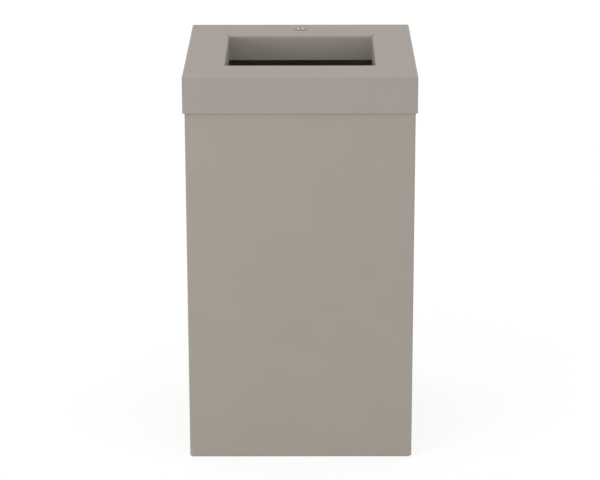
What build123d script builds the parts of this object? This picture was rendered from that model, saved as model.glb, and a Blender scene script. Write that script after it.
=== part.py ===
from build123d import *
import math
import os

os.makedirs("parts", exist_ok=True)

# Lid: one sheet, folded down round its edge as a skirt and round its opening as a collar
lid_width = 350.0
lid_depth = 350.0
lid_skirt = 58.0
lid_sheet = 1.5
lid_bend = 2.0
front_rim = 66.0
rear_rim = 82.0
side_rim = 61.5
collar_depth = 40.0
collar_slit = 0.8
relief_width = 1.8
relief_reach = 4.2

# Body: front and sides are one folded sheet, the back is a second one
body_height = 607.5
body_sheet = 1.0
body_bend = 1.0
lid_clearance = 1.5
rim_flange = 12.0
seam_flange = 15.0
fold_gap = 0.5
relief_margin = 0.4

# Base plate: a tray that lies on the bottom flanges
base_lip = 15.0
base_clearance = 0.2

# Rubber pads under the lid
pad_length = 20.0
pad_width = 8.0
pad_thickness = 1.0
pad_corner_inset = 32.0

# Fixing to the wall
lid_wall_gap = 2.0
wall_hole_diameter = 7.0
wall_hole_span_x = 220.0
wall_hole_span_z = 360.0
wall_hole_drop = 127.5
spacer_side = 24.0

# Bag ring, a band of strip on edge, and the hooks that carry it
ring_strip = 2.0
ring_band = 16.0
ring_corner = 20.0
ring_drop = 61.5
ring_rim_clearance = 1.5
ring_play = 0.5
ring_seat_gap = 0.3
hook_sheet = 2.0
hook_bend = 1.0
hook_width = 22.0
hook_lip = 8.0
hook_tab = 24.0

# Cam lock: housing, plug and what clamps it in the lid
lock_rear_inset = 36.0
lock_head_diameter = 20.0
lock_head_height = 1.0
lock_head_chamfer = 0.4
lock_body_diameter = 18.0
lock_body_flats = 16.0
lock_body_length = 20.0
lock_hole_clearance = 0.2
lock_running_clearance = 0.05
plug_diameter = 11.5
plug_head_diameter = 13.0
plug_head_height = 2.0
plug_recess = 0.2
plug_end_gap = 0.1
key_slot_width = 2.0
key_slot_length = 8.5
key_slot_depth = 18.0
housing_groove_width = 3.4
housing_groove_depth = 1.0
wafer_count = 4
wafer_pitch = 3.0
wafer_thickness = 1.0
wafer_width = 7.8
wafer_first_depth = 5.0
wafer_play = 0.1
wafer_window_width = 2.8
wafer_window_length = 8.2
washer_diameter = 24.0
washer_thickness = 1.0
washer_teeth = 10
washer_tooth_depth = 1.6
washer_tooth_gap = 2.0
nut_across_flats = 24.0
nut_thickness = 4.5

# Cam, its quarter-turn stop and its screw
tail_square = 7.0
stop_diameter = 14.0
stop_thickness = 1.2
stop_tab_width = 4.0
stop_ring_clearance = 0.25
stop_ring_gap = 0.2
stop_margin_deg = 1.0
cam_turn_deg = 90.0
cam_reach = 25.0
cam_width = 16.0
cam_thickness = 2.0
cam_tip_chamfer = 2.0
cam_washer_diameter = 12.0
cam_washer_thickness = 0.8
cam_screw_diameter = 4.0
cam_screw_length = 7.0
cam_screw_head_diameter = 8.0
cam_screw_head_height = 2.6
cam_screw_slot_width = 1.0
cam_screw_slot_depth = 1.2
screw_clearance = 0.05

# Keeper on the back panel, under which the cam turns
keeper_sheet = 2.0
keeper_bend = 1.0
keeper_width = 40.0
keeper_height = 13.0
keeper_front_gap = 10.0
keeper_cam_gap = 1.0
ring_keeper_gap = 2.0
rivet_diameter = 4.0
rivet_span = 24.0
rivet_head_diameter = 8.0
rivet_head_height = 1.0
rivet_bulb_diameter = 6.0
rivet_bulb_length = 3.0

# Places that follow from these sizes
STANDING = (Align.CENTER, Align.CENTER, Align.MIN)
HANGING = (Align.CENTER, Align.CENTER, Align.MAX)
lid_overhang = lid_sheet + lid_clearance
body_width = lid_width - 2 * lid_overhang
body_depth = lid_depth - 2 * lid_overhang
overall_depth = lid_depth + lid_wall_gap
wall_y = overall_depth / 2
lid_y = -lid_wall_gap / 2
lid_top_z = body_height + pad_thickness + lid_sheet
body_front_y = lid_y - body_depth / 2
body_back_y = lid_y + body_depth / 2
panel_y = body_back_y - body_sheet
inner_front_y = body_front_y + body_sheet
inner_back_y = panel_y - body_sheet
inner_x = body_width / 2 - body_sheet
body_fold = body_bend + body_sheet
lid_fold = lid_bend + lid_sheet
opening_width = lid_width - 2 * side_rim
opening_depth = lid_depth - front_rim - rear_rim
opening_y = lid_y - lid_depth / 2 + front_rim + opening_depth / 2
wall_hole_top_z = body_height - wall_hole_drop
ring_low_z = body_height - ring_drop - ring_band
lock_y = lid_y + lid_depth / 2 - lock_rear_inset
housing_end_z = lid_top_z - lock_body_length
plug_face_z = lid_top_z + lock_head_height - plug_recess
plug_end_z = housing_end_z - plug_end_gap
cam_top_z = plug_end_z - stop_thickness
cam_bottom_z = cam_top_z - cam_thickness
keeper_z = cam_top_z + keeper_cam_gap
keeper_front_y = lock_y + keeper_front_gap
ring_side_x = body_width / 2 - rim_flange - ring_rim_clearance
ring_front_y = body_front_y + rim_flange + ring_rim_clearance
ring_back_y = keeper_front_y - ring_keeper_gap
ring_y = (ring_front_y + ring_back_y) / 2


def rounded_block(width, depth, height, radius):
    """A block standing on z = 0 with every edge rounded."""
    block = Box(width, depth, height, align=STANDING)
    return fillet(block.edges(), radius)


def folded_box(width, depth, height, sheet, bend):
    """A closed box of sheet metal with rounded folds, standing on z = 0."""
    outside = rounded_block(width, depth, height, bend + sheet)
    inside = rounded_block(width - 2 * sheet, depth - 2 * sheet, height - 2 * sheet, bend)
    return outside - Pos(0, 0, sheet) * inside


def span_box(low, high):
    """A block from its lowest to its highest corner."""
    size = [top - bottom for bottom, top in zip(low, high)]
    return Pos(*low) * Box(*size, align=(Align.MIN, Align.MIN, Align.MIN))


def bent_strip(plane, points, sheet, bend, width):
    """A strip of sheet bent along points, which give its outer face, with the metal to their right."""
    line = FilletPolyline(*points, radius=bend + sheet)
    outline = line.offset_2d(sheet, side=Side.RIGHT, closed=True)
    return extrude(plane * make_face(outline), width / 2, both=True)


def upright(diameter, low_z, high_z):
    """A round bar on the lock's axis between two heights."""
    return Pos(0, lock_y, low_z) * Cylinder(diameter / 2, high_z - low_z, align=STANDING)


def across(diameter, x, z, low_y, high_y):
    """A round bar along Y between two depths."""
    bar = Cylinder(diameter / 2, high_y - low_y, align=STANDING)
    return Pos(x, low_y, z) * Rot(-90, 0, 0) * bar


def lock_barrel(diameter, flats, low_z, high_z):
    """A round bar on the lock's axis with two flats that face front and back."""
    flat_sides = Pos(0, lock_y, low_z) * Box(diameter, flats, high_z - low_z, align=STANDING)
    return upright(diameter, low_z, high_z) & flat_sides


def square_bar(side, low_z, high_z):
    """A square bar on the lock's axis."""
    return Pos(0, lock_y, low_z) * Box(side, side, high_z - low_z, align=STANDING)


def corner_signs():
    """The four corners of a rectangle, as signs along X and Y."""
    return [(x, y) for x in (-1, 1) for y in (-1, 1)]


def wall_hole_places():
    """The X and Z of the four fixing holes."""
    heights = (wall_hole_top_z - wall_hole_span_z, wall_hole_top_z)
    return [(x * wall_hole_span_x / 2, z) for x in (-1, 1) for z in heights]


def rivet_places():
    """The X and Z of the keeper's two rivets."""
    mid_z = keeper_z + keeper_sheet + keeper_bend + (keeper_height - keeper_sheet - keeper_bend) / 2
    return [(x * rivet_span / 2, mid_z) for x in (-1, 1)]


def folded_cap(width, depth, height, radius):
    """A block standing on z = 0 whose top edges are rounded, as a cap with welded corners has them."""
    block = Box(width, depth, height, align=STANDING)
    return fillet(block.edges().group_by(Axis.Z)[-1], radius)


def lid_shell():
    """The lid's top and skirt, still without its opening."""
    outside = folded_cap(lid_width, lid_depth, lid_skirt, lid_fold)
    inside = folded_cap(lid_width - 2 * lid_sheet, lid_depth - 2 * lid_sheet, lid_skirt - lid_sheet, lid_bend)
    return Pos(0, lid_y, lid_top_z - lid_skirt) * (outside - inside)


def opening_edges(cover, z):
    """The edges at height z that run round the opening."""
    reach_x = opening_width / 2 + lid_fold
    reach_y = opening_depth / 2 + lid_fold
    level = cover.edges().filter_by_position(Axis.Z, z - lid_sheet / 2, z + lid_sheet / 2)
    level = level.filter_by_position(Axis.X, -reach_x, reach_x)
    return level.filter_by_position(Axis.Y, opening_y - reach_y, opening_y + reach_y)


def collar_corner(x_sign, y_sign):
    """What is cut away where two flanges of the collar meet: their slit and the relief of the fold."""
    corner_x = x_sign * opening_width / 2
    corner_y = opening_y + y_sign * opening_depth / 2
    side = lid_sheet + collar_slit
    slit = Pos(
        corner_x + x_sign * (side - collar_slit) / 2,
        corner_y + y_sign * (side - collar_slit) / 2,
        lid_top_z - lid_fold,
    ) * Box(side, side, collar_depth, align=HANGING)
    turn = Rot(0, 0, math.degrees(math.atan2(y_sign, x_sign)))
    slot = extrude(Rectangle(relief_reach, relief_width, align=(Align.MIN, Align.CENTER)), 2 * lid_fold)
    end = Pos(relief_reach, 0, 0) * Cylinder(relief_width / 2, 2 * lid_fold, align=STANDING)
    relief = Pos(corner_x, corner_y, lid_top_z - 2 * lid_fold + lid_sheet) * turn * (slot + end)
    return slit + relief


def lid_cover():
    """The lid's sheet with the collar round its opening and the hole for the lock."""
    collar_width = opening_width + 2 * lid_sheet
    collar_length = opening_depth + 2 * lid_sheet
    place = Pos(0, opening_y, lid_top_z)
    cover = lid_shell() + place * Box(collar_width, collar_length, collar_depth, align=HANGING)
    cover -= place * Box(opening_width, opening_depth, 2 * collar_depth)
    cover = fillet(opening_edges(cover, lid_top_z), lid_fold)
    cover = fillet(opening_edges(cover, lid_top_z - lid_sheet), lid_bend)
    for x_sign, y_sign in corner_signs():
        cover -= collar_corner(x_sign, y_sign)
    hole = 2 * lock_hole_clearance
    return cover - lock_barrel(
        lock_body_diameter + hole, lock_body_flats + hole, lid_top_z - 2 * lid_sheet, lid_top_z + lid_sheet
    )


def flange_mitre(x_sign, z):
    """The slit between two neighbouring flanges at a front corner, with the round relief of their folds."""
    relief_x = x_sign * (body_width / 2 - body_fold)
    relief_y = body_front_y + body_fold
    reach = math.hypot(rim_flange, rim_flange)
    turn = Rot(0, 0, math.degrees(math.atan2(1, -x_sign)))
    slit = Box(reach, fold_gap, 2 * body_fold, align=(Align.MIN, Align.CENTER, Align.CENTER))
    hole = Cylinder(body_fold + relief_margin, 2 * body_fold)
    return Pos(relief_x, relief_y, z) * (turn * slit + hole)


def body_wrap():
    """The front and the sides, with flanges turned in at the top, the bottom and the rear seams."""
    wrap = Pos(0, lid_y, 0) * folded_box(body_width, body_depth, body_height, body_sheet, body_bend)
    flange_x = body_width / 2 - rim_flange
    wrap -= span_box(
        (-flange_x, body_front_y + rim_flange, -body_sheet), (flange_x, wall_y, body_height + body_sheet)
    )
    seam_x = body_width / 2 - seam_flange
    wrap -= span_box((-seam_x, panel_y - body_fold, -body_sheet), (seam_x, wall_y, body_height + body_sheet))
    for low_z, high_z in ((-body_sheet, 2 * body_fold), (body_height - 2 * body_fold, body_height + body_sheet)):
        wrap -= span_box((-body_width, body_back_y - body_fold, low_z), (body_width, wall_y, high_z))
    for z in (0, body_height):
        for x_sign in (-1, 1):
            wrap -= flange_mitre(x_sign, z)
    return wrap


def back_panel():
    """The rear sheet, folded forwards at its top and bottom between the flanges of the wrap."""
    flange_y = panel_y - rim_flange
    points = [(flange_y, 0), (panel_y, 0), (panel_y, body_height), (flange_y, body_height)]
    points.reverse()
    panel_width = 2 * (inner_x - body_bend - base_clearance)
    panel = bent_strip(Plane.YZ, points, body_sheet, body_bend, panel_width)
    flange_x = body_width / 2 - rim_flange - fold_gap
    for low_z, high_z in ((-body_sheet, 2 * body_fold), (body_height - 2 * body_fold, body_height + body_sheet)):
        for x_sign in (-1, 1):
            low_x, high_x = sorted((x_sign * flange_x, x_sign * body_width))
            panel -= span_box((low_x, body_front_y, low_z), (high_x, wall_y, high_z))
    for x, z in wall_hole_places():
        panel -= across(wall_hole_diameter, x, z, inner_back_y - body_sheet, wall_y)
    for x, z in rivet_places():
        panel -= across(rivet_diameter + 2 * screw_clearance, x, z, inner_back_y - body_sheet, wall_y)
    return panel


def base_plate():
    """The floor tray, whose lips stand against the walls and whose corners are notched."""
    width = 2 * (inner_x - base_clearance)
    depth = inner_back_y - inner_front_y - 2 * base_clearance
    centre_y = (inner_back_y + inner_front_y) / 2
    tall = base_lip + 2 * body_fold
    tray = folded_box(width, depth, tall, body_sheet, body_bend)
    tray -= Pos(0, 0, base_lip) * Box(width, depth, tall, align=STANDING)
    for x_sign, y_sign in corner_signs():
        notch = 2 * (body_fold + fold_gap)
        tray -= Pos(x_sign * width / 2, y_sign * depth / 2, 0) * Box(notch, notch, 2 * base_lip)
    return Pos(0, centre_y, body_sheet) * tray


def rim_pads():
    """The rubber pads on the side flanges of the rim, near their ends."""
    pad_x = body_width / 2 - body_fold - pad_width / 2
    pad_y = body_depth / 2 - pad_corner_inset
    pad = Box(pad_width, pad_length, pad_thickness, align=STANDING)
    return [Pos(x * pad_x, lid_y + y * pad_y, body_height) * pad for x, y in corner_signs()]


def wall_spacers():
    """The square blocks round the fixing holes that reach from the back panel to the wall."""
    block = Box(spacer_side, wall_y - panel_y, spacer_side, align=(Align.CENTER, Align.MIN, Align.CENTER))
    return [
        Pos(x, panel_y, z) * block - across(wall_hole_diameter, x, z, panel_y, wall_y)
        for x, z in wall_hole_places()
    ]


def bag_ring():
    """The band of strip that the bag is folded over."""
    width = 2 * ring_side_x
    depth = ring_back_y - ring_front_y
    outline = RectangleRounded(width, depth, ring_corner)
    outline -= RectangleRounded(width - 2 * ring_strip, depth - 2 * ring_strip, ring_corner - ring_strip)
    return Pos(0, ring_y, ring_low_z) * extrude(outline, ring_band)


def ring_hook(plane, wall, ring_face):
    """One bent strip from a wall to just inside a ring whose outer face is at ring_face."""
    lip = ring_face - ring_strip - ring_play - hook_sheet
    shelf_z = ring_low_z - ring_seat_gap - hook_sheet
    points = [(wall, shelf_z + hook_tab), (wall, shelf_z), (lip, shelf_z), (lip, shelf_z + hook_lip)]
    return bent_strip(plane, points, hook_sheet, hook_bend, hook_width)


def bag_ring_hooks():
    """A hook in the middle of each wall."""
    right = Plane(origin=(0, ring_y, 0), x_dir=(1, 0, 0), z_dir=(0, -1, 0))
    left = Plane(origin=(0, ring_y, 0), x_dir=(-1, 0, 0), z_dir=(0, 1, 0))
    back = Plane(origin=(0, 0, 0), x_dir=(0, 1, 0), z_dir=(1, 0, 0))
    front = Plane(origin=(0, 0, 0), x_dir=(0, -1, 0), z_dir=(-1, 0, 0))
    return [
        ring_hook(right, inner_x, ring_side_x),
        ring_hook(left, inner_x, ring_side_x),
        ring_hook(back, inner_back_y, ring_back_y),
        ring_hook(front, -inner_front_y, -ring_front_y),
    ]


def lock_keeper():
    """The bent strip under whose lower leg the cam turns."""
    points = [(inner_back_y, keeper_z + keeper_height), (inner_back_y, keeper_z), (keeper_front_y, keeper_z)]
    keeper = bent_strip(Plane.YZ, points, keeper_sheet, keeper_bend, keeper_width)
    for x, z in rivet_places():
        hole = rivet_diameter + 2 * screw_clearance
        keeper -= across(hole, x, z, inner_back_y - 2 * keeper_sheet, wall_y)
    return keeper


def keeper_rivets():
    """Blind rivets with their flat head behind the back panel and their bulb inside the keeper."""
    grip_y = inner_back_y - keeper_sheet
    rivets = []
    for x, z in rivet_places():
        head = across(rivet_head_diameter, x, z, panel_y, panel_y + rivet_head_height)
        shank = across(rivet_diameter, x, z, grip_y, panel_y)
        bulb = across(rivet_bulb_diameter, x, z, grip_y - rivet_bulb_length, grip_y)
        rivets.append(head + shank + bulb)
    return rivets


def stop_sector(diameter, low_z, high_z):
    """The sector that the stop tab sweeps between two heights, from -X a quarter turn on to -Y."""
    spare_deg = math.degrees(math.asin(stop_tab_width / stop_diameter)) + stop_margin_deg
    rim = CenterArc((0, 0), diameter / 2, 180 - spare_deg, cam_turn_deg + 2 * spare_deg)
    sector = make_face([Line((0, 0), rim @ 0), rim, Line(rim @ 1, (0, 0))])
    return Pos(0, lock_y, low_z) * extrude(sector, high_z - low_z)


def lock_housing():
    """The lock's head and threaded barrel, with the ring below that stops the tab."""
    head_top_z = lid_top_z + lock_head_height
    head = upright(lock_head_diameter, lid_top_z, head_top_z)
    head = chamfer(head.edges().group_by(Axis.Z)[-1], lock_head_chamfer)
    ring_z = cam_top_z + stop_ring_gap
    stop_ring = lock_barrel(lock_body_diameter, lock_body_flats, ring_z, housing_end_z)
    stop_ring -= upright(stop_diameter + 2 * stop_ring_clearance, ring_z, housing_end_z)
    stop_ring -= stop_sector(2 * lock_body_diameter, ring_z, housing_end_z)
    barrel = lock_barrel(lock_body_diameter, lock_body_flats, housing_end_z, lid_top_z)
    bore = plug_diameter + 2 * lock_running_clearance
    mouth = plug_head_diameter + 2 * lock_running_clearance
    mouth_z = plug_face_z - plug_head_height - lock_running_clearance
    housing = head + barrel + stop_ring
    housing -= upright(bore, ring_z, head_top_z)
    housing -= upright(mouth, mouth_z, head_top_z)
    groove_top_z = mouth_z - wafer_thickness
    groove = Box(
        housing_groove_width, bore + 2 * housing_groove_depth, groove_top_z - housing_end_z, align=STANDING
    )
    return housing - Pos(0, lock_y, housing_end_z) * groove


def wafer_heights():
    """The underside of each wafer."""
    return [plug_face_z - wafer_first_depth - step * wafer_pitch for step in range(wafer_count)]


def lock_plug():
    """The turning plug with its key slot, wafer slots, square tail and threaded hole."""
    plug = upright(plug_diameter, plug_end_z, plug_face_z)
    plug += upright(plug_head_diameter, plug_face_z - plug_head_height, plug_face_z)
    plug += square_bar(tail_square, cam_bottom_z + plug_end_gap, plug_end_z)
    plug -= Pos(0, lock_y, plug_face_z) * Box(key_slot_width, key_slot_length, 2 * key_slot_depth)
    for z in wafer_heights():
        slot_height = wafer_thickness + 2 * wafer_play
        slot = Box(wafer_width + 2 * wafer_play, plug_diameter, slot_height, align=STANDING)
        plug -= Pos(0, lock_y, z - wafer_play) * slot
    hole = cam_screw_diameter + 2 * screw_clearance
    hole_top_z = cam_bottom_z - cam_washer_thickness + cam_screw_length + plug_end_gap
    return plug - upright(hole, cam_bottom_z, hole_top_z)


def lock_wafers():
    """The plates in the plug, drawn in as the key holds them, each with a window for the key."""
    wafers = []
    for z in wafer_heights():
        wafer = upright(plug_diameter - 2 * wafer_play, z, z + wafer_thickness)
        wafer &= Pos(0, lock_y, z) * Box(wafer_width, plug_diameter, wafer_thickness, align=STANDING)
        window = Box(wafer_window_width, wafer_window_length, 2 * wafer_thickness)
        wafers.append(wafer - Pos(0, lock_y, z) * window)
    return wafers


def lock_washer():
    """The toothed washer between the lid and the nut."""
    under_z = lid_top_z - lid_sheet
    washer = upright(washer_diameter, under_z - washer_thickness, under_z)
    washer -= upright(lock_body_diameter + 2 * lock_hole_clearance, under_z - washer_thickness, under_z)
    gap = Box(washer_tooth_depth, washer_tooth_gap, 2 * washer_thickness, align=(Align.MAX, Align.CENTER, Align.MAX))
    for tooth in range(washer_teeth):
        turn = Rot(0, 0, 360 / washer_teeth * tooth)
        washer -= Pos(0, lock_y, under_z) * turn * Pos(washer_diameter / 2, 0, 0) * gap
    return washer


def lock_nut():
    """The thin hexagon nut, with two of its flats facing front and back."""
    top_z = lid_top_z - lid_sheet - washer_thickness
    hexagon = RegularPolygon(nut_across_flats / 2, 6, major_radius=False, rotation=30)
    nut = Pos(0, lock_y, top_z - nut_thickness) * extrude(hexagon, nut_thickness)
    return nut - upright(lock_body_diameter + 2 * lock_hole_clearance, top_z - nut_thickness, top_z)


def lock_stop_washer():
    """The washer on the square tail, whose tab meets the ends of the housing's ring."""
    reach = lock_body_diameter / 2
    tab = Box(reach, stop_tab_width, stop_thickness, align=(Align.MAX, Align.CENTER, Align.MIN))
    washer = upright(stop_diameter, cam_top_z, plug_end_z) + Pos(0, lock_y, cam_top_z) * tab
    return washer - square_bar(tail_square + 2 * screw_clearance, cam_top_z, plug_end_z)


def lock_cam():
    """The flat tongue, round at the plug and square at its tip, which points sideways when the lid is free."""
    tongue = Rectangle(cam_reach, cam_width, align=(Align.MIN, Align.CENTER))
    tongue = chamfer(tongue.vertices().group_by(Axis.X)[-1], cam_tip_chamfer)
    shape = tongue + Circle(cam_width / 2)
    cam = Pos(0, lock_y, cam_bottom_z) * extrude(shape, cam_thickness)
    return cam - square_bar(tail_square + 2 * screw_clearance, cam_bottom_z, cam_top_z)


def cam_washer():
    """The plain washer under the cam."""
    low_z = cam_bottom_z - cam_washer_thickness
    hole = cam_screw_diameter + 2 * screw_clearance
    return upright(cam_washer_diameter, low_z, cam_bottom_z) - upright(hole, low_z, cam_bottom_z)


def cam_screw():
    """The slotted cheese-head screw that holds the cam on the plug."""
    seat_z = cam_bottom_z - cam_washer_thickness
    head = upright(cam_screw_head_diameter, seat_z - cam_screw_head_height, seat_z)
    slot = Box(cam_screw_head_diameter, cam_screw_slot_width, 2 * cam_screw_slot_depth)
    head -= Pos(0, lock_y, seat_z - cam_screw_head_height) * slot
    return head + upright(cam_screw_diameter, seat_z, seat_z + cam_screw_length)


pieces = {
    "lid_cover": lid_cover,
    "body_wrap": body_wrap,
    "back_panel": back_panel,
    "base_plate": base_plate,
    "rim_pads": rim_pads,
    "wall_spacers": wall_spacers,
    "bag_ring": bag_ring,
    "bag_ring_hooks": bag_ring_hooks,
    "lock_keeper": lock_keeper,
    "keeper_rivets": keeper_rivets,
    "lock_housing": lock_housing,
    "lock_plug": lock_plug,
    "lock_wafers": lock_wafers,
    "lock_washer": lock_washer,
    "lock_nut": lock_nut,
    "lock_stop_washer": lock_stop_washer,
    "lock_cam": lock_cam,
    "cam_washer": cam_washer,
    "cam_screw": cam_screw,
}

for name, make in pieces.items():
    made = make()
    solids = made if isinstance(made, list) else [made]
    shape = Compound([solid for part in solids for solid in part.solids()])
    export_step(shape, f"parts/{name}.step")
    print(name, len(shape.solids()), round(shape.volume, 1))
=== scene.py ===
import math

import bmesh
import bpy
from mathutils import Matrix, Vector


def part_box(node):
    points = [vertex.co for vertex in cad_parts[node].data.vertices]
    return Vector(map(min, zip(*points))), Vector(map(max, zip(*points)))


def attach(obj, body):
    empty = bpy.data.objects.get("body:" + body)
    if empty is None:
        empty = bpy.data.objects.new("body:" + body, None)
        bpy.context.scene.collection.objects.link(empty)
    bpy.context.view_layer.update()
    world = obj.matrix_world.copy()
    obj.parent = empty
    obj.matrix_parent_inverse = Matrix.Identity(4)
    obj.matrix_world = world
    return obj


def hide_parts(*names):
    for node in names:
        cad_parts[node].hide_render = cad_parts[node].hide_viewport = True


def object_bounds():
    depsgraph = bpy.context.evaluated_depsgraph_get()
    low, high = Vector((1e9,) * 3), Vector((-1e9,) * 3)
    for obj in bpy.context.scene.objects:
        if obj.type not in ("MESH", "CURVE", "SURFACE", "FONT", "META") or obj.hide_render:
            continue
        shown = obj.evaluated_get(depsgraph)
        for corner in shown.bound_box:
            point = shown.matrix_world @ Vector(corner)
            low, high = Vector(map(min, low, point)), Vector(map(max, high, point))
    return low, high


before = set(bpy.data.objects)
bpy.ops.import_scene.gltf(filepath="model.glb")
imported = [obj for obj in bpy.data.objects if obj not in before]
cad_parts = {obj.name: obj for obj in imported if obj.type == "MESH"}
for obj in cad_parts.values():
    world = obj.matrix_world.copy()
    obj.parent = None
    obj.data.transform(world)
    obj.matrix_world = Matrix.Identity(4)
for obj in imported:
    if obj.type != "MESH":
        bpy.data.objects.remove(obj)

cad_low, cad_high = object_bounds()


# Camera: the photograph looks down on the front by 18 degrees, from three and a half metres away and
# through a long lens, so the upright folds run almost parallel.
camera_place = Vector((0.0116, -3.5577, 1.4356))
camera_pitch = math.radians(17.72)
camera_roll = math.radians(0.11)
camera_yaw = math.radians(0.17)
sensor_width = 36.0
lens_length = 141.08

camera_data = bpy.data.cameras.new("photo_camera")
camera_data.sensor_fit = "HORIZONTAL"
camera_data.sensor_width = sensor_width
camera_data.lens = lens_length
camera = bpy.data.objects.new("photo_camera", camera_data)
bpy.context.scene.collection.objects.link(camera)
camera.location = camera_place
camera.rotation_euler = (math.pi / 2 - camera_pitch, camera_roll, camera_yaw)
bpy.context.scene.camera = camera
bpy.context.scene.view_settings.view_transform = "Standard"


# Sky: an even dome of soft light, which gives most of what falls on the bin. It is plain white where the
# camera or a polished face sees it, and a little weaker where it lights the bin.
sky_light = 0.86
sky_seen = 1.0
white = (1.0, 1.0, 1.0, 1.0)


def step(tree, kind, feeds=None, **settings):
    """A node with its settings, whose named inputs are fed by sockets or set to values."""
    made = tree.nodes.new(kind)
    for setting, value in settings.items():
        setattr(made, setting, value)
    for name, value in (feeds or {}).items():
        if isinstance(value, bpy.types.NodeSocket):
            tree.links.new(value, made.inputs[name])
        else:
            made.inputs[name].default_value = value
    return made


def reckon(tree, operation, first, second):
    """The result of one sum on two values or sockets."""
    return step(tree, "ShaderNodeMath", {0: first, 1: second}, operation=operation).outputs["Value"]


def seen_directly(tree):
    """A factor of 1 for camera, glossy and transmission rays, and 0 for the rays that light the object."""
    path = step(tree, "ShaderNodeLightPath").outputs
    mirrored = reckon(tree, "MAXIMUM", path["Is Glossy Ray"], path["Is Transmission Ray"])
    return reckon(tree, "MAXIMUM", path["Is Camera Ray"], mirrored)


world = bpy.data.worlds.new("studio_sky")
bpy.context.scene.world = world
world.use_nodes = True
sky_tree = world.node_tree
sky_tree.nodes.clear()
sky_range = {"Value": seen_directly(sky_tree), "To Min": sky_light, "To Max": sky_seen}
sky_level = step(sky_tree, "ShaderNodeMapRange", sky_range).outputs["Result"]
sky_dome = step(sky_tree, "ShaderNodeBackground", {"Color": white, "Strength": sky_level})
step(sky_tree, "ShaderNodeOutputWorld", {"Surface": sky_dome.outputs["Background"]})


# Lamps: two soft boxes flank the camera's view of the front, the left one stronger. Three low ones light
# the other walls from under the level of the lid's top, so that they shine neither into collar nor lock.
flank_side = 1.9
flank_forward = 2.2
flank_height = 0.75
flank_size = (1.5, 0.9)
left_flank_power = 26.0
right_flank_power = 10.0
wall_lamp_distance = 3.4
wall_lamp_height = 0.25
wall_lamp_size = (3.6, 0.5)
wall_lamp_power = 12.0


def soft_box(name, place, size, power):
    """A rectangular area lamp, of a width and a height, that faces the bin's axis at its own height."""
    lamp = bpy.data.lights.new(name, "AREA")
    lamp.shape = "RECTANGLE"
    lamp.size, lamp.size_y = size
    lamp.energy = power
    holder = bpy.data.objects.new(name, lamp)
    bpy.context.scene.collection.objects.link(holder)
    holder.location = place
    aim = Vector((-place[0], -place[1], 0.0))
    holder.rotation_euler = aim.to_track_quat("-Z", "Y").to_euler()


soft_box("front_left_soft_box", (-flank_side, -flank_forward, flank_height), flank_size, left_flank_power)
soft_box("front_right_soft_box", (flank_side, -flank_forward, flank_height), flank_size, right_flank_power)
soft_box("left_soft_box", (-wall_lamp_distance, 0.0, wall_lamp_height), wall_lamp_size, wall_lamp_power)
soft_box("right_soft_box", (wall_lamp_distance, 0.0, wall_lamp_height), wall_lamp_size, wall_lamp_power)
soft_box("rear_soft_box", (0.0, wall_lamp_distance, wall_lamp_height), wall_lamp_size, wall_lamp_power)


# Floor: a pale, matt studio floor that runs out of sight behind the bin. It turns white where no shadow
# lies, and keeps the soft shadow round the foot of the bin.
floor_reach = 30.0
floor_colour = (0.24, 0.24, 0.24, 1.0)
floor_roughness = 0.9
floor_specular = 0.1
floor_glow = 0.785

floor_mesh = bpy.data.meshes.new("studio_floor")
floor_corners = ((-1, -1), (1, -1), (1, 1), (-1, 1))
floor_mesh.from_pydata(
    [(x * floor_reach, y * floor_reach, cad_low.z) for x, y in floor_corners], [], [(0, 1, 2, 3)]
)
floor = bpy.data.objects.new("studio_floor", floor_mesh)
bpy.context.scene.collection.objects.link(floor)
floor_paint = bpy.data.materials.new("studio_floor")
floor_paint.use_nodes = True
floor_tree = floor_paint.node_tree
floor_shader = floor_tree.nodes["Principled BSDF"]
floor_shader.inputs["Base Color"].default_value = floor_colour
floor_shader.inputs["Roughness"].default_value = floor_roughness
floor_shader.inputs["Specular IOR Level"].default_value = floor_specular
floor_shader.inputs["Emission Color"].default_value = white
floor_level = reckon(floor_tree, "MULTIPLY", seen_directly(floor_tree), floor_glow)
floor_tree.links.new(floor_level, floor_shader.inputs["Emission Strength"])
floor_mesh.materials.append(floor_paint)


# Lid: one steel sheet, folded down round its edge and round its opening, welded at its outer corners and
# powder-coated all over, so it shows a fine, even orange peel and no bare metal.
lid_tones = ((0.378, 0.337, 0.303), (0.402, 0.359, 0.323))
coat_gloss = (0.52, 0.62)
coat_grain = (0.0011, 0.000012, 0.09)
coat_specular = 0.25
grain_detail = 2.0
cloud_detail = 3.0


def surface_group():
    """Fine grain and slow clouds on a piece's own coordinates, each a value from 0 to 1."""
    group = bpy.data.node_groups.new("surface_grain", "ShaderNodeTree")
    for name in ("Grain Size", "Cloud Size"):
        group.interface.new_socket(name=name, in_out="INPUT", socket_type="NodeSocketFloat")
    for name in ("Grain", "Cloud"):
        group.interface.new_socket(name=name, in_out="OUTPUT", socket_type="NodeSocketFloat")
    sizes = step(group, "NodeGroupInput").outputs
    place = step(group, "ShaderNodeTexCoord").outputs["Object"]
    results = {}
    for name, detail in (("Grain", grain_detail), ("Cloud", cloud_detail)):
        scale = reckon(group, "DIVIDE", 1.0, sizes[name + " Size"])
        noise = step(group, "ShaderNodeTexNoise", {"Vector": place, "Scale": scale, "Detail": detail})
        results[name] = noise.outputs["Fac"]
    step(group, "NodeGroupOutput", results)
    return group


surface_grain = surface_group()


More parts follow.
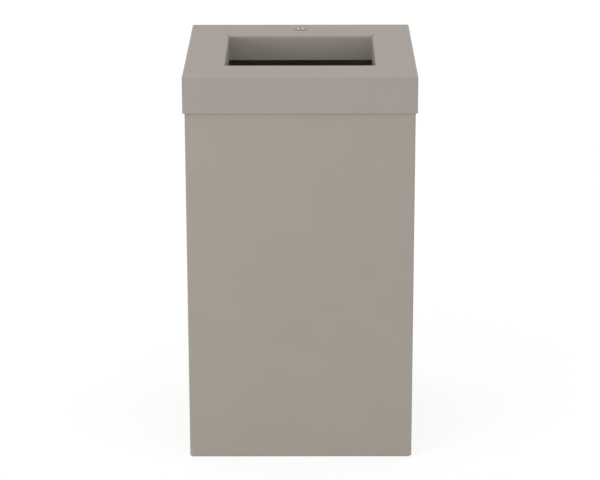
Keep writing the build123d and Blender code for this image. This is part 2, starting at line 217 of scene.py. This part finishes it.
def finish(name, tones, gloss, grain, metallic=0.0, specular=0.5):
    """A material between two tones and two levels of gloss, whose grain has a size, a depth and a cloud."""
    material = bpy.data.materials.new(name)
    material.use_nodes = True
    tree = material.node_tree
    grain_size, grain_depth, cloud_size = grain
    sizes = {"Grain Size": grain_size, "Cloud Size": cloud_size}
    texture = step(tree, "ShaderNodeGroup", sizes, node_tree=surface_grain).outputs
    tone_range = {"Factor": texture["Cloud"], "A": (*tones[0], 1.0), "B": (*tones[1], 1.0)}
    tone = step(tree, "ShaderNodeMix", tone_range, data_type="RGBA")
    gloss_range = {"Value": texture["Grain"], "To Min": gloss[0], "To Max": gloss[1]}
    roughness = step(tree, "ShaderNodeMapRange", gloss_range)
    relief = step(tree, "ShaderNodeBump", {"Height": texture["Grain"], "Distance": grain_depth})
    shader = tree.nodes["Principled BSDF"]
    shader.inputs["Metallic"].default_value = metallic
    shader.inputs["Specular IOR Level"].default_value = specular
    tree.links.new(tone.outputs["Result"], shader.inputs["Base Color"])
    tree.links.new(roughness.outputs["Result"], shader.inputs["Roughness"])
    tree.links.new(relief.outputs["Normal"], shader.inputs["Normal"])
    return material


def dress(material, *names):
    """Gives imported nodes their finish."""
    for name in names:
        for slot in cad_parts[name].material_slots:
            slot.material = material


dress(finish("lid_coat", lid_tones, coat_gloss, coat_grain, specular=coat_specular), "lid_cover")


# Body: the wrap, the back panel and the base plate are thinner sheet from another run of the same coat,
# a trace yellower than the lid. They are folded, lapped at the rear seams and welded from inside.
body_tones = ((0.378, 0.342, 0.301), (0.402, 0.364, 0.320))
body_coat = finish("body_coat", body_tones, coat_gloss, coat_grain, specular=coat_specular)
dress(body_coat, "body_wrap", "back_panel", "base_plate")


# Bag ring: a band of zinc-plated steel strip on edge, bent round at its corners and welded end to end. It
# lies loose in its hooks, and the bag is folded over it.
ring_low, ring_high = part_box("bag_ring")
ring_strip = 0.002
ring_corner = 0.020
strip_edge = 0.0003
fold_steps = 8
edge_steps = 2

zinc_tones = ((0.50, 0.51, 0.52), (0.60, 0.60, 0.585))
zinc_gloss = (0.30, 0.42)
zinc_grain = (0.0008, 0.000004, 0.02)
bright_zinc = finish("bright_zinc", zinc_tones, zinc_gloss, zinc_grain, metallic=1.0)


def geometry_tree(name, sizes):
    """An empty tree that takes named sizes and a finish, and the sockets that it takes them from."""
    tree = bpy.data.node_groups.new(name, "GeometryNodeTree")
    tree.interface.new_socket(name="Geometry", in_out="OUTPUT", socket_type="NodeSocketGeometry")
    for size in sizes:
        tree.interface.new_socket(name=size, in_out="INPUT", socket_type="NodeSocketFloat")
    tree.interface.new_socket(name="Finish", in_out="INPUT", socket_type="NodeSocketMaterial")
    return tree, step(tree, "NodeGroupInput").outputs


def close_tree(tree, taken, shape):
    """Ends a tree: what it makes becomes real mesh and takes its finish."""
    real = step(tree, "GeometryNodeRealizeInstances", {"Geometry": shape})
    dressed = step(
        tree, "GeometryNodeSetMaterial", {"Geometry": real.outputs["Geometry"], "Material": taken["Finish"]}
    )
    step(tree, "NodeGroupOutput", {"Geometry": dressed.outputs["Geometry"]})


def vector(tree, x=0.0, y=0.0, z=0.0):
    """A vector of three values or sockets."""
    return step(tree, "ShaderNodeCombineXYZ", {"X": x, "Y": y, "Z": z}).outputs["Vector"]


def rounded_rectangle(tree, width, height, radius, steps):
    """A closed curve round the origin of the XY plane, with round corners."""
    spans = {"Width": width, "Height": height}
    sides = step(tree, "GeometryNodeCurvePrimitiveQuadrilateral", spans, mode="RECTANGLE")
    corners = {"Curve": sides.outputs["Curve"], "Radius": radius, "Count": steps}
    return step(tree, "GeometryNodeFilletCurve", corners, mode="POLY").outputs["Curve"]


def swept(tree, path, section, caps):
    """The skin of a section that runs along a path."""
    feeds = {"Curve": path, "Profile Curve": section, "Fill Caps": caps}
    return step(tree, "GeometryNodeCurveToMesh", feeds).outputs["Mesh"]


def grown(tree, sizes, material, place):
    """The plain mesh that a tree makes with these sizes and this finish, moved to its place."""
    maker = bpy.data.objects.new("maker", bpy.data.meshes.new("maker"))
    bpy.context.scene.collection.objects.link(maker)
    modifier = maker.modifiers.new("shape", "NODES")
    modifier.node_group = tree
    values = dict(sizes, Finish=material)
    for socket in tree.interface.items_tree:
        if socket.item_type == "SOCKET" and socket.in_out == "INPUT":
            modifier[socket.identifier] = values[socket.name]
    evaluated = maker.evaluated_get(bpy.context.evaluated_depsgraph_get())
    mesh = bpy.data.meshes.new_from_object(evaluated)
    bpy.data.objects.remove(maker)
    mesh.transform(place)
    return mesh


seam_gap = 0.000001
crease_angle = math.radians(32)


def assembled(name, meshes, body, slot, *replaced):
    """One closed object of these meshes, on its body and in place of the nodes that it stands for."""
    shell = bmesh.new()
    for mesh in meshes:
        shell.from_mesh(mesh)
    bmesh.ops.remove_doubles(shell, verts=shell.verts, dist=seam_gap)
    bmesh.ops.recalc_face_normals(shell, faces=shell.faces)
    for face in shell.faces:
        face.material_index = 0
    whole = bpy.data.meshes.new(name)
    shell.to_mesh(whole)
    shell.free()
    whole.materials.append(next(material for material in meshes[0].materials if material))
    whole.shade_smooth()
    whole.set_sharp_from_angle(angle=crease_angle)
    piece = bpy.data.objects.new(name, whole)
    bpy.context.scene.collection.objects.link(piece)
    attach(piece, body)
    if replaced:
        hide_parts(*replaced)


ring_tree, ring_in = geometry_tree("strip_ring", ("Width", "Depth", "Band", "Strip", "Corner", "Edge"))
half_strip = reckon(ring_tree, "MULTIPLY", ring_in["Strip"], 0.5)
ring_path = rounded_rectangle(
    ring_tree,
    reckon(ring_tree, "SUBTRACT", ring_in["Width"], ring_in["Strip"]),
    reckon(ring_tree, "SUBTRACT", ring_in["Depth"], ring_in["Strip"]),
    reckon(ring_tree, "SUBTRACT", ring_in["Corner"], half_strip),
    fold_steps,
)
ring_section = rounded_rectangle(ring_tree, ring_in["Strip"], ring_in["Band"], ring_in["Edge"], edge_steps)
close_tree(ring_tree, ring_in, swept(ring_tree, ring_path, ring_section, False))

ring_sizes = {
    "Width": ring_high.x - ring_low.x,
    "Depth": ring_high.y - ring_low.y,
    "Band": ring_high.z - ring_low.z,
    "Strip": ring_strip,
    "Corner": ring_corner,
    "Edge": strip_edge,
}
ring_place = Matrix.Translation((ring_low + ring_high) / 2)
ring_mesh = grown(ring_tree, ring_sizes, bright_zinc, ring_place)
assembled("bag_ring_band", [ring_mesh], "ring", "zinc_steel", "bag_ring")


# Ring hooks: four strips bent to a tab, a shelf and a lip, spot-welded by the tab inside each wall and
# coated with the body. The ring stands on the shelves, behind the lips.
hooks_low, hooks_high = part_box("bag_ring_hooks")
hook_sheet = 0.002
hook_bend = 0.001
hook_width = 0.022
hook_lip = 0.008
hook_play = 0.0005

hook_tree, hook_in = geometry_tree("bent_hook", ("Reach", "Tab", "Lip", "Sheet", "Bend", "Width", "Edge"))
half_sheet = reckon(hook_tree, "MULTIPLY", hook_in["Sheet"], 0.5)
lip_x = reckon(hook_tree, "SUBTRACT", hook_in["Reach"], half_sheet)
hook_points = {
    "Point 1": vector(hook_tree, x=half_sheet, z=hook_in["Tab"]),
    "Point 2": vector(hook_tree, x=half_sheet, z=half_sheet),
    "Point 3": vector(hook_tree, x=lip_x, z=half_sheet),
    "Point 4": vector(hook_tree, x=lip_x, z=hook_in["Lip"]),
}
hook_loop = step(hook_tree, "GeometryNodeCurvePrimitiveQuadrilateral", hook_points, mode="POINTS")
hook_line = step(
    hook_tree, "GeometryNodeSetSplineCyclic", {"Geometry": hook_loop.outputs["Curve"], "Cyclic": False}
)
hook_folds = {
    "Curve": hook_line.outputs["Geometry"],
    "Radius": reckon(hook_tree, "ADD", hook_in["Bend"], half_sheet),
    "Count": fold_steps,
}
hook_path = step(hook_tree, "GeometryNodeFilletCurve", hook_folds, mode="POLY").outputs["Curve"]
hook_section = rounded_rectangle(
    hook_tree, hook_in["Sheet"], hook_in["Width"], hook_in["Edge"], edge_steps
)
close_tree(hook_tree, hook_in, swept(hook_tree, hook_path, hook_section, True))

ring_middle_y = (ring_low.y + ring_high.y) / 2
lip_depth = ring_strip + hook_play + hook_sheet
hook_places = (
    ((hooks_low.x, ring_middle_y), 0.0, ring_low.x - hooks_low.x),
    ((hooks_high.x, ring_middle_y), math.pi, hooks_high.x - ring_high.x),
    ((0.0, hooks_low.y), math.pi / 2, ring_low.y - hooks_low.y),
    ((0.0, hooks_high.y), -math.pi / 2, hooks_high.y - ring_high.y),
)
hook_meshes = []
for (hook_x, hook_y), turn, wall_gap in hook_places:
    hook_sizes = {
        "Reach": wall_gap + lip_depth,
        "Tab": hooks_high.z - hooks_low.z,
        "Lip": hook_lip,
        "Sheet": hook_sheet,
        "Bend": hook_bend,
        "Width": hook_width,
        "Edge": strip_edge,
    }
    hook_place = Matrix.Translation((hook_x, hook_y, hooks_low.z)) @ Matrix.Rotation(turn, 4, "Z")
    hook_meshes.append(grown(hook_tree, hook_sizes, body_coat, hook_place))
assembled("ring_hook_strips", hook_meshes, "bin", "powder_coat", "bag_ring_hooks")


# Rim pads: four pads of black rubber, stuck on the side flanges of the rim. The lid rests on them, so
# that metal never strikes metal.
pads_low, pads_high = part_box("rim_pads")
pad_length = 0.020
pad_width = 0.008
pad_corner = 0.001
pad_corner_steps = 4
pad_edge = 0.0002
pad_top_share = 0.95

rubber_tones = ((0.030, 0.030, 0.030), (0.042, 0.042, 0.041))
rubber_gloss = (0.62, 0.80)
rubber_grain = (0.0006, 0.00001, 0.01)
black_rubber = finish("black_rubber", rubber_tones, rubber_gloss, rubber_grain)


def joined(tree, *shapes):
    """Several shapes as one."""
    whole = step(tree, "GeometryNodeJoinGeometry")
    for shape in shapes:
        tree.links.new(shape, whole.inputs["Geometry"])
    return whole.outputs["Geometry"]


def raised(tree, base, height):
    """The closed block that stands on a flat base, and the faces of its top."""
    feeds = {"Mesh": base, "Offset": vector(tree, z=height), "Individual": False}
    walls = step(tree, "GeometryNodeExtrudeMesh", feeds, mode="FACES").outputs
    under = step(tree, "GeometryNodeFlipFaces", {"Mesh": base}).outputs["Mesh"]
    return joined(tree, walls["Mesh"], under), walls["Top"]


def four_of(tree, span_x, span_y, shape):
    """A shape at each corner of a rectangle round the origin."""
    corners = {"Size X": span_x, "Size Y": span_y, "Vertices X": 2, "Vertices Y": 2}
    copies = {"Points": step(tree, "GeometryNodeMeshGrid", corners).outputs["Mesh"], "Instance": shape}
    return step(tree, "GeometryNodeInstanceOnPoints", copies).outputs["Instances"]


pad_tree, pad_in = geometry_tree(
    "rubber_pads", ("Width", "Length", "Height", "Corner", "Edge", "Span X", "Span Y")
)
pad_outline = rounded_rectangle(
    pad_tree, pad_in["Width"], pad_in["Length"], pad_in["Corner"], pad_corner_steps
)
pad_face = step(pad_tree, "GeometryNodeFillCurve", {"Curve": pad_outline}, mode="NGONS").outputs["Mesh"]
pad_wall_height = reckon(pad_tree, "SUBTRACT", pad_in["Height"], pad_in["Edge"])
pad_block, pad_top = raised(pad_tree, pad_face, pad_wall_height)
pad_rim = {"Mesh": pad_block, "Selection": pad_top, "Offset": vector(pad_tree, z=pad_in["Edge"])}
pad_crown = step(pad_tree, "GeometryNodeExtrudeMesh", pad_rim, mode="FACES").outputs
pad_draw = {"Geometry": pad_crown["Mesh"], "Selection": pad_crown["Top"], "Scale": pad_top_share}
pad_shape = step(pad_tree, "GeometryNodeScaleElements", pad_draw, domain="FACE").outputs["Geometry"]
close_tree(pad_tree, pad_in, four_of(pad_tree, pad_in["Span X"], pad_in["Span Y"], pad_shape))

pad_sizes = {
    "Width": pad_width,
    "Length": pad_length,
    "Height": pads_high.z - pads_low.z,
    "Corner": pad_corner,
    "Edge": pad_edge,
    "Span X": pads_high.x - pads_low.x - pad_width,
    "Span Y": pads_high.y - pads_low.y - pad_length,
}
pad_place = Matrix.Translation(((pads_low.x + pads_high.x) / 2, (pads_low.y + pads_high.y) / 2, pads_low.z))
pad_mesh = grown(pad_tree, pad_sizes, black_rubber, pad_place)
assembled("rubber_rim_pads", [pad_mesh], "bin", "black_rubber", "rim_pads")


# Wall spacers: four moulded rubber blocks round the fixing holes. The screws clamp them between the back
# panel and the wall, and they leave room for the lid's rear skirt.
spacers_low, spacers_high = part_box("wall_spacers")
spacer_side = 0.024
spacer_corner = 0.002
spacer_corner_steps = 5
spacer_hole = 0.007
spacer_hole_facets = 32


def circle(tree, radius, facets):
    """A closed round curve about the origin of the XY plane."""
    feeds = {"Resolution": facets, "Radius": radius}
    return step(tree, "GeometryNodeCurvePrimitiveCircle", feeds, mode="RADIUS").outputs["Curve"]


spacer_tree, spacer_in = geometry_tree(
    "wall_blocks", ("Side", "Height", "Corner", "Hole", "Span X", "Span Y")
)
spacer_outline = rounded_rectangle(
    spacer_tree, spacer_in["Side"], spacer_in["Side"], spacer_in["Corner"], spacer_corner_steps
)
spacer_hole_radius = reckon(spacer_tree, "MULTIPLY", spacer_in["Hole"], 0.5)
spacer_bore = circle(spacer_tree, spacer_hole_radius, spacer_hole_facets)
spacer_curves = joined(spacer_tree, spacer_outline, spacer_bore)
spacer_face = step(spacer_tree, "GeometryNodeFillCurve", {"Curve": spacer_curves}, mode="TRIANGLES")
spacer_block = raised(spacer_tree, spacer_face.outputs["Mesh"], spacer_in["Height"])[0]
close_tree(
    spacer_tree, spacer_in, four_of(spacer_tree, spacer_in["Span X"], spacer_in["Span Y"], spacer_block)
)

spacer_sizes = {
    "Side": spacer_side,
    "Height": spacers_high.y - spacers_low.y,
    "Corner": spacer_corner,
    "Hole": spacer_hole,
    "Span X": spacers_high.x - spacers_low.x - spacer_side,
    "Span Y": spacers_high.z - spacers_low.z - spacer_side,
}
spacer_middle = (spacers_low + spacers_high) / 2
spacer_place = Matrix.Translation((spacer_middle.x, spacers_high.y, spacer_middle.z))
spacer_place = spacer_place @ Matrix.Rotation(math.pi / 2, 4, "X")
spacer_mesh = grown(spacer_tree, spacer_sizes, black_rubber, spacer_place)
assembled("rubber_wall_blocks", [spacer_mesh], "bin", "black_rubber", "wall_spacers")


# Keeper and its rivets: a bent strip of zinc-plated steel under which the cam turns, held on the back
# panel by two aluminium blind rivets with a domed head outside and a bulb inside.
rivets_low, rivets_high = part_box("keeper_rivets")
panel_back_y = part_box("back_panel")[1].y
rivet_head = 0.008
rivet_shank = 0.004
rivet_bulb = 0.006
rivet_bulb_length = 0.003
rivet_dimple = 0.0012
rivet_dimple_share = 0.5
rivet_facets = 32
rivet_rings = 16

aluminium_tones = ((0.42, 0.42, 0.42), (0.50, 0.50, 0.50))
aluminium_gloss = (0.34, 0.46)
rivet_metal = finish("rivet_aluminium", aluminium_tones, aluminium_gloss, zinc_grain, metallic=1.0)
dress(bright_zinc, "lock_keeper")


def coordinates(tree):
    """The sockets X, Y and Z of each point's own position."""
    position = step(tree, "GeometryNodeInputPosition").outputs["Position"]
    return step(tree, "ShaderNodeSeparateXYZ", {"Vector": position}).outputs


def half_ball(tree, radius, height, keep):
    """A flattened half ball on the origin that stands up, or hangs down, as keep says."""
    unit_ball = {"Segments": rivet_facets, "Rings": rivet_rings, "Radius": 1.0}
    ball = step(tree, "GeometryNodeMeshUVSphere", unit_ball).outputs["Mesh"]
    squash = vector(tree, x=radius, y=radius, z=height)
    flat = step(tree, "GeometryNodeTransform", {"Geometry": ball, "Scale": squash}).outputs["Geometry"]
    place = coordinates(tree)
    level = reckon(tree, keep, place["Z"], 0.0)
    cut = {"Geometry": flat, "Position": vector(tree, place["X"], place["Y"], level)}
    return step(tree, "GeometryNodeSetPosition", cut).outputs["Geometry"]


rivet_tree, rivet_in = geometry_tree(
    "blind_rivets", ("Head", "Head Height", "Shank", "Grip", "Bulb", "Bulb Length", "Dimple", "Span")
)
head_radius = reckon(rivet_tree, "MULTIPLY", rivet_in["Head"], 0.5)
rivet_dome = half_ball(rivet_tree, head_radius, rivet_in["Head Height"], "MAXIMUM")
dome_place = coordinates(rivet_tree)
dome_arm = vector(rivet_tree, dome_place["X"], dome_place["Y"])
dome_reach = step(rivet_tree, "ShaderNodeVectorMath", {0: dome_arm}, operation="LENGTH").outputs["Value"]
dome_middle = reckon(rivet_tree, "LESS_THAN", dome_reach, rivet_in["Dimple"])
dome_above = reckon(rivet_tree, "GREATER_THAN", dome_place["Z"], 0.0)
dome_top = reckon(rivet_tree, "MULTIPLY", dome_middle, dome_above)
dome_fall = reckon(rivet_tree, "MULTIPLY", rivet_in["Head Height"], -rivet_dimple_share)
dimpled = {"Geometry": rivet_dome, "Selection": dome_top, "Offset": vector(rivet_tree, z=dome_fall)}
rivet_top = step(rivet_tree, "GeometryNodeSetPosition", dimpled).outputs["Geometry"]
grip_middle = reckon(rivet_tree, "MULTIPLY", rivet_in["Grip"], -0.5)
shank_sizes = {
    "Vertices": rivet_facets,
    "Radius": reckon(rivet_tree, "MULTIPLY", rivet_in["Shank"], 0.5),
    "Depth": rivet_in["Grip"],
}
shank = step(rivet_tree, "GeometryNodeMeshCylinder", shank_sizes).outputs["Mesh"]
shank_down = {"Geometry": shank, "Translation": vector(rivet_tree, z=grip_middle)}
rivet_stem = step(rivet_tree, "GeometryNodeTransform", shank_down).outputs["Geometry"]
bulb_radius = reckon(rivet_tree, "MULTIPLY", rivet_in["Bulb"], 0.5)
bulb = half_ball(rivet_tree, bulb_radius, rivet_in["Bulb Length"], "MINIMUM")
grip_end = reckon(rivet_tree, "MULTIPLY", rivet_in["Grip"], -1.0)
bulb_down = {"Geometry": bulb, "Translation": vector(rivet_tree, z=grip_end)}
rivet_tail = step(rivet_tree, "GeometryNodeTransform", bulb_down).outputs["Geometry"]
rivet_row = {
    "Count": 2,
    "Start Location": vector(rivet_tree, x=reckon(rivet_tree, "MULTIPLY", rivet_in["Span"], -0.5)),
    "Offset": vector(rivet_tree, x=rivet_in["Span"]),
}
rivet_points = step(rivet_tree, "GeometryNodeMeshLine", rivet_row).outputs["Mesh"]
rivet_pair = {"Points": rivet_points, "Instance": joined(rivet_tree, rivet_top, rivet_stem, rivet_tail)}
close_tree(
    rivet_tree, rivet_in, step(rivet_tree, "GeometryNodeInstanceOnPoints", rivet_pair).outputs["Instances"]
)

rivet_sizes = {
    "Head": rivet_head,
    "Head Height": rivets_high.y - panel_back_y,
    "Shank": rivet_shank,
    "Grip": panel_back_y - rivets_low.y - rivet_bulb_length,
    "Bulb": rivet_bulb,
    "Bulb Length": rivet_bulb_length,
    "Dimple": rivet_dimple,
    "Span": rivets_high.x - rivets_low.x - rivet_head,
}
rivet_place = Matrix.Translation((0.0, panel_back_y, (rivets_low.z + rivets_high.z) / 2))
rivet_place = rivet_place @ Matrix.Rotation(-math.pi / 2, 4, "X")
rivet_mesh = grown(rivet_tree, rivet_sizes, rivet_metal, rivet_place)
assembled("keeper_blind_rivets", [rivet_mesh], "bin", "rivet_aluminium", "keeper_rivets")


# Lock: a die-cast cam lock with a nickel head and a brighter plug, clamped in the lid by a nut. The head's
# colour is
#  darkened well below nickel's, as painted shade that stands in for the dark reflections round its face.
#  Its wafers are stamped brass, and the cam and its small parts are zinc-plated steel.
# Painted reflection: the head's two tones are far darker than nickel, so that its face shows a dark
# mirrored rim.
head_painted_shade_tones = ((0.20, 0.20, 0.20), (0.24, 0.24, 0.235))
head_gloss = (0.28, 0.36)
plug_tones = ((0.44, 0.44, 0.44), (0.49, 0.49, 0.485))
plug_gloss = (0.16, 0.24)
brass_tones = ((0.66, 0.50, 0.26), (0.72, 0.56, 0.30))
brass_gloss = (0.30, 0.40)
nickel_grain = (0.0004, 0.000002, 0.008)

# The head's finish is nickel with a painted dark reflection in its colour.
nickel_with_painted_dark_reflection = finish("nickel_with_painted_dark_reflection", head_painted_shade_tones, head_gloss, nickel_grain, metallic=1.0)
bright_nickel = finish("bright_nickel", plug_tones, plug_gloss, nickel_grain, metallic=1.0)
stamped_brass = finish("stamped_brass", brass_tones, brass_gloss, nickel_grain, metallic=1.0)
dress(nickel_with_painted_dark_reflection, "lock_housing")
dress(bright_nickel, "lock_plug")
dress(stamped_brass, "lock_wafers")
dress(bright_zinc, "lock_nut", "lock_stop_washer", "lock_cam", "cam_washer", "cam_screw")


# Lock thread: the fine thread that is cut on the round sides of the barrel, below the lid, and that the
# two flats interrupt.
housing_low, housing_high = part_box("lock_housing")
lock_axis = ((housing_low.x + housing_high.x) / 2, (housing_low.y + housing_high.y) / 2)
barrel_end_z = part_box("lock_stop_washer")[1].z
washer_low, washer_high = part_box("lock_washer")
thread_radius = 0.00895
thread_height = 0.0002
thread_pitch = 0.001
thread_margin = 0.0005
thread_facets = 48
ridge_corners = 4
barrel_flats = 0.016
flat_cover = 0.0001

thread_tree, thread_in = geometry_tree("barrel_thread", ("Radius", "Ridge", "Pitch", "Length", "Flats"))
thread_turns = reckon(thread_tree, "DIVIDE", thread_in["Length"], thread_in["Pitch"])
spiral_sizes = {
    "Resolution": thread_facets,
    "Rotations": thread_turns,
    "Start Radius": thread_in["Radius"],
    "End Radius": thread_in["Radius"],
    "Height": thread_in["Length"],
}
spiral = step(thread_tree, "GeometryNodeCurveSpiral", spiral_sizes).outputs["Curve"]
ridge_section = circle(thread_tree, thread_in["Ridge"], ridge_corners)
ridge = swept(thread_tree, spiral, ridge_section, True)
ridge_place = coordinates(thread_tree)
rear_flat = reckon(thread_tree, "MULTIPLY", thread_in["Flats"], 0.5)
front_flat = reckon(thread_tree, "MULTIPLY", thread_in["Flats"], -0.5)
rear_held = reckon(thread_tree, "MINIMUM", ridge_place["Y"], rear_flat)
held_y = reckon(thread_tree, "MAXIMUM", rear_held, front_flat)
flattened = {"Geometry": ridge, "Position": vector(thread_tree, ridge_place["X"], held_y, ridge_place["Z"])}
close_tree(
    thread_tree, thread_in, step(thread_tree, "GeometryNodeSetPosition", flattened).outputs["Geometry"]
)

thread_sizes = {
    "Radius": thread_radius,
    "Ridge": thread_height,
    "Pitch": thread_pitch,
    "Length": washer_high.z - barrel_end_z - 2 * thread_margin,
    "Flats": barrel_flats - 2 * flat_cover,
}
thread_place = Matrix.Translation((*lock_axis, barrel_end_z + thread_margin))
# The thread takes the head's finish, with the same painted dark reflection in its colour.
thread_mesh = grown(thread_tree, thread_sizes, nickel_with_painted_dark_reflection, thread_place)
assembled("lock_barrel_thread", [thread_mesh], "lid", "chrome_lock")


# Toothed washer: a ring of zinc-plated spring steel under the lid, whose twisted teeth bite the coat and
# keep the lock from turning.
washer_bore = 0.0184
washer_facets = 72
washer_teeth = 10
tooth_length = 0.0018
tooth_width = 0.0036
tooth_twist = math.radians(8)
tooth_share = 0.6

tooth_tree, tooth_in = geometry_tree(
    "toothed_washer", ("Outside", "Bore", "Thickness", "Teeth", "Tooth", "Tooth Width", "Twist", "Share")
)
outer_radius = reckon(tooth_tree, "MULTIPLY", tooth_in["Outside"], 0.5)
bore_radius = reckon(tooth_tree, "MULTIPLY", tooth_in["Bore"], 0.5)
root_radius = reckon(tooth_tree, "SUBTRACT", outer_radius, tooth_in["Tooth"])
web_middle = reckon(tooth_tree, "MULTIPLY", reckon(tooth_tree, "ADD", root_radius, bore_radius), 0.5)
web_width = reckon(tooth_tree, "SUBTRACT", root_radius, bore_radius)
web_sides = {"Width": web_width, "Height": tooth_in["Thickness"]}
web_section = step(tooth_tree, "GeometryNodeCurvePrimitiveQuadrilateral", web_sides, mode="RECTANGLE")
web_path = circle(tooth_tree, web_middle, washer_facets)
web = swept(tooth_tree, web_path, web_section.outputs["Curve"], False)
half_tooth = reckon(tooth_tree, "MULTIPLY", tooth_in["Tooth"], 0.5)
tooth_ring = {
    "Vertices": tooth_in["Teeth"],
    "Radius": reckon(tooth_tree, "SUBTRACT", outer_radius, half_tooth),
}
tooth_points = step(tooth_tree, "GeometryNodeMeshCircle", tooth_ring).outputs["Mesh"]
tooth_height = reckon(tooth_tree, "MULTIPLY", tooth_in["Thickness"], tooth_in["Share"])
tooth_size = vector(tooth_tree, tooth_in["Tooth"], tooth_in["Tooth Width"], tooth_height)
tooth = step(tooth_tree, "GeometryNodeMeshCube", {"Size": tooth_size}).outputs["Mesh"]
tooth_place = coordinates(tooth_tree)
tooth_bearing = reckon(tooth_tree, "ARCTAN2", tooth_place["Y"], tooth_place["X"])
tooth_angles = {"Euler": vector(tooth_tree, tooth_in["Twist"], 0.0, tooth_bearing)}
tooth_turn = step(tooth_tree, "FunctionNodeEulerToRotation", tooth_angles).outputs["Rotation"]
tooth_set = {"Points": tooth_points, "Instance": tooth, "Rotation": tooth_turn}
teeth = step(tooth_tree, "GeometryNodeInstanceOnPoints", tooth_set).outputs["Instances"]
close_tree(tooth_tree, tooth_in, joined(tooth_tree, web, teeth))

washer_sizes = {
    "Outside": washer_high.y - washer_low.y,
    "Bore": washer_bore,
    "Thickness": washer_high.z - washer_low.z,
    "Teeth": washer_teeth,
    "Tooth": tooth_length,
    "Tooth Width": tooth_width,
    "Twist": tooth_twist,
    "Share": tooth_share,
}
washer_place = Matrix.Translation((*lock_axis, (washer_low.z + washer_high.z) / 2))
washer_mesh = grown(tooth_tree, washer_sizes, bright_zinc, washer_place)
assembled("toothed_lock_washer", [washer_mesh], "lid", "zinc_steel", "lock_washer")
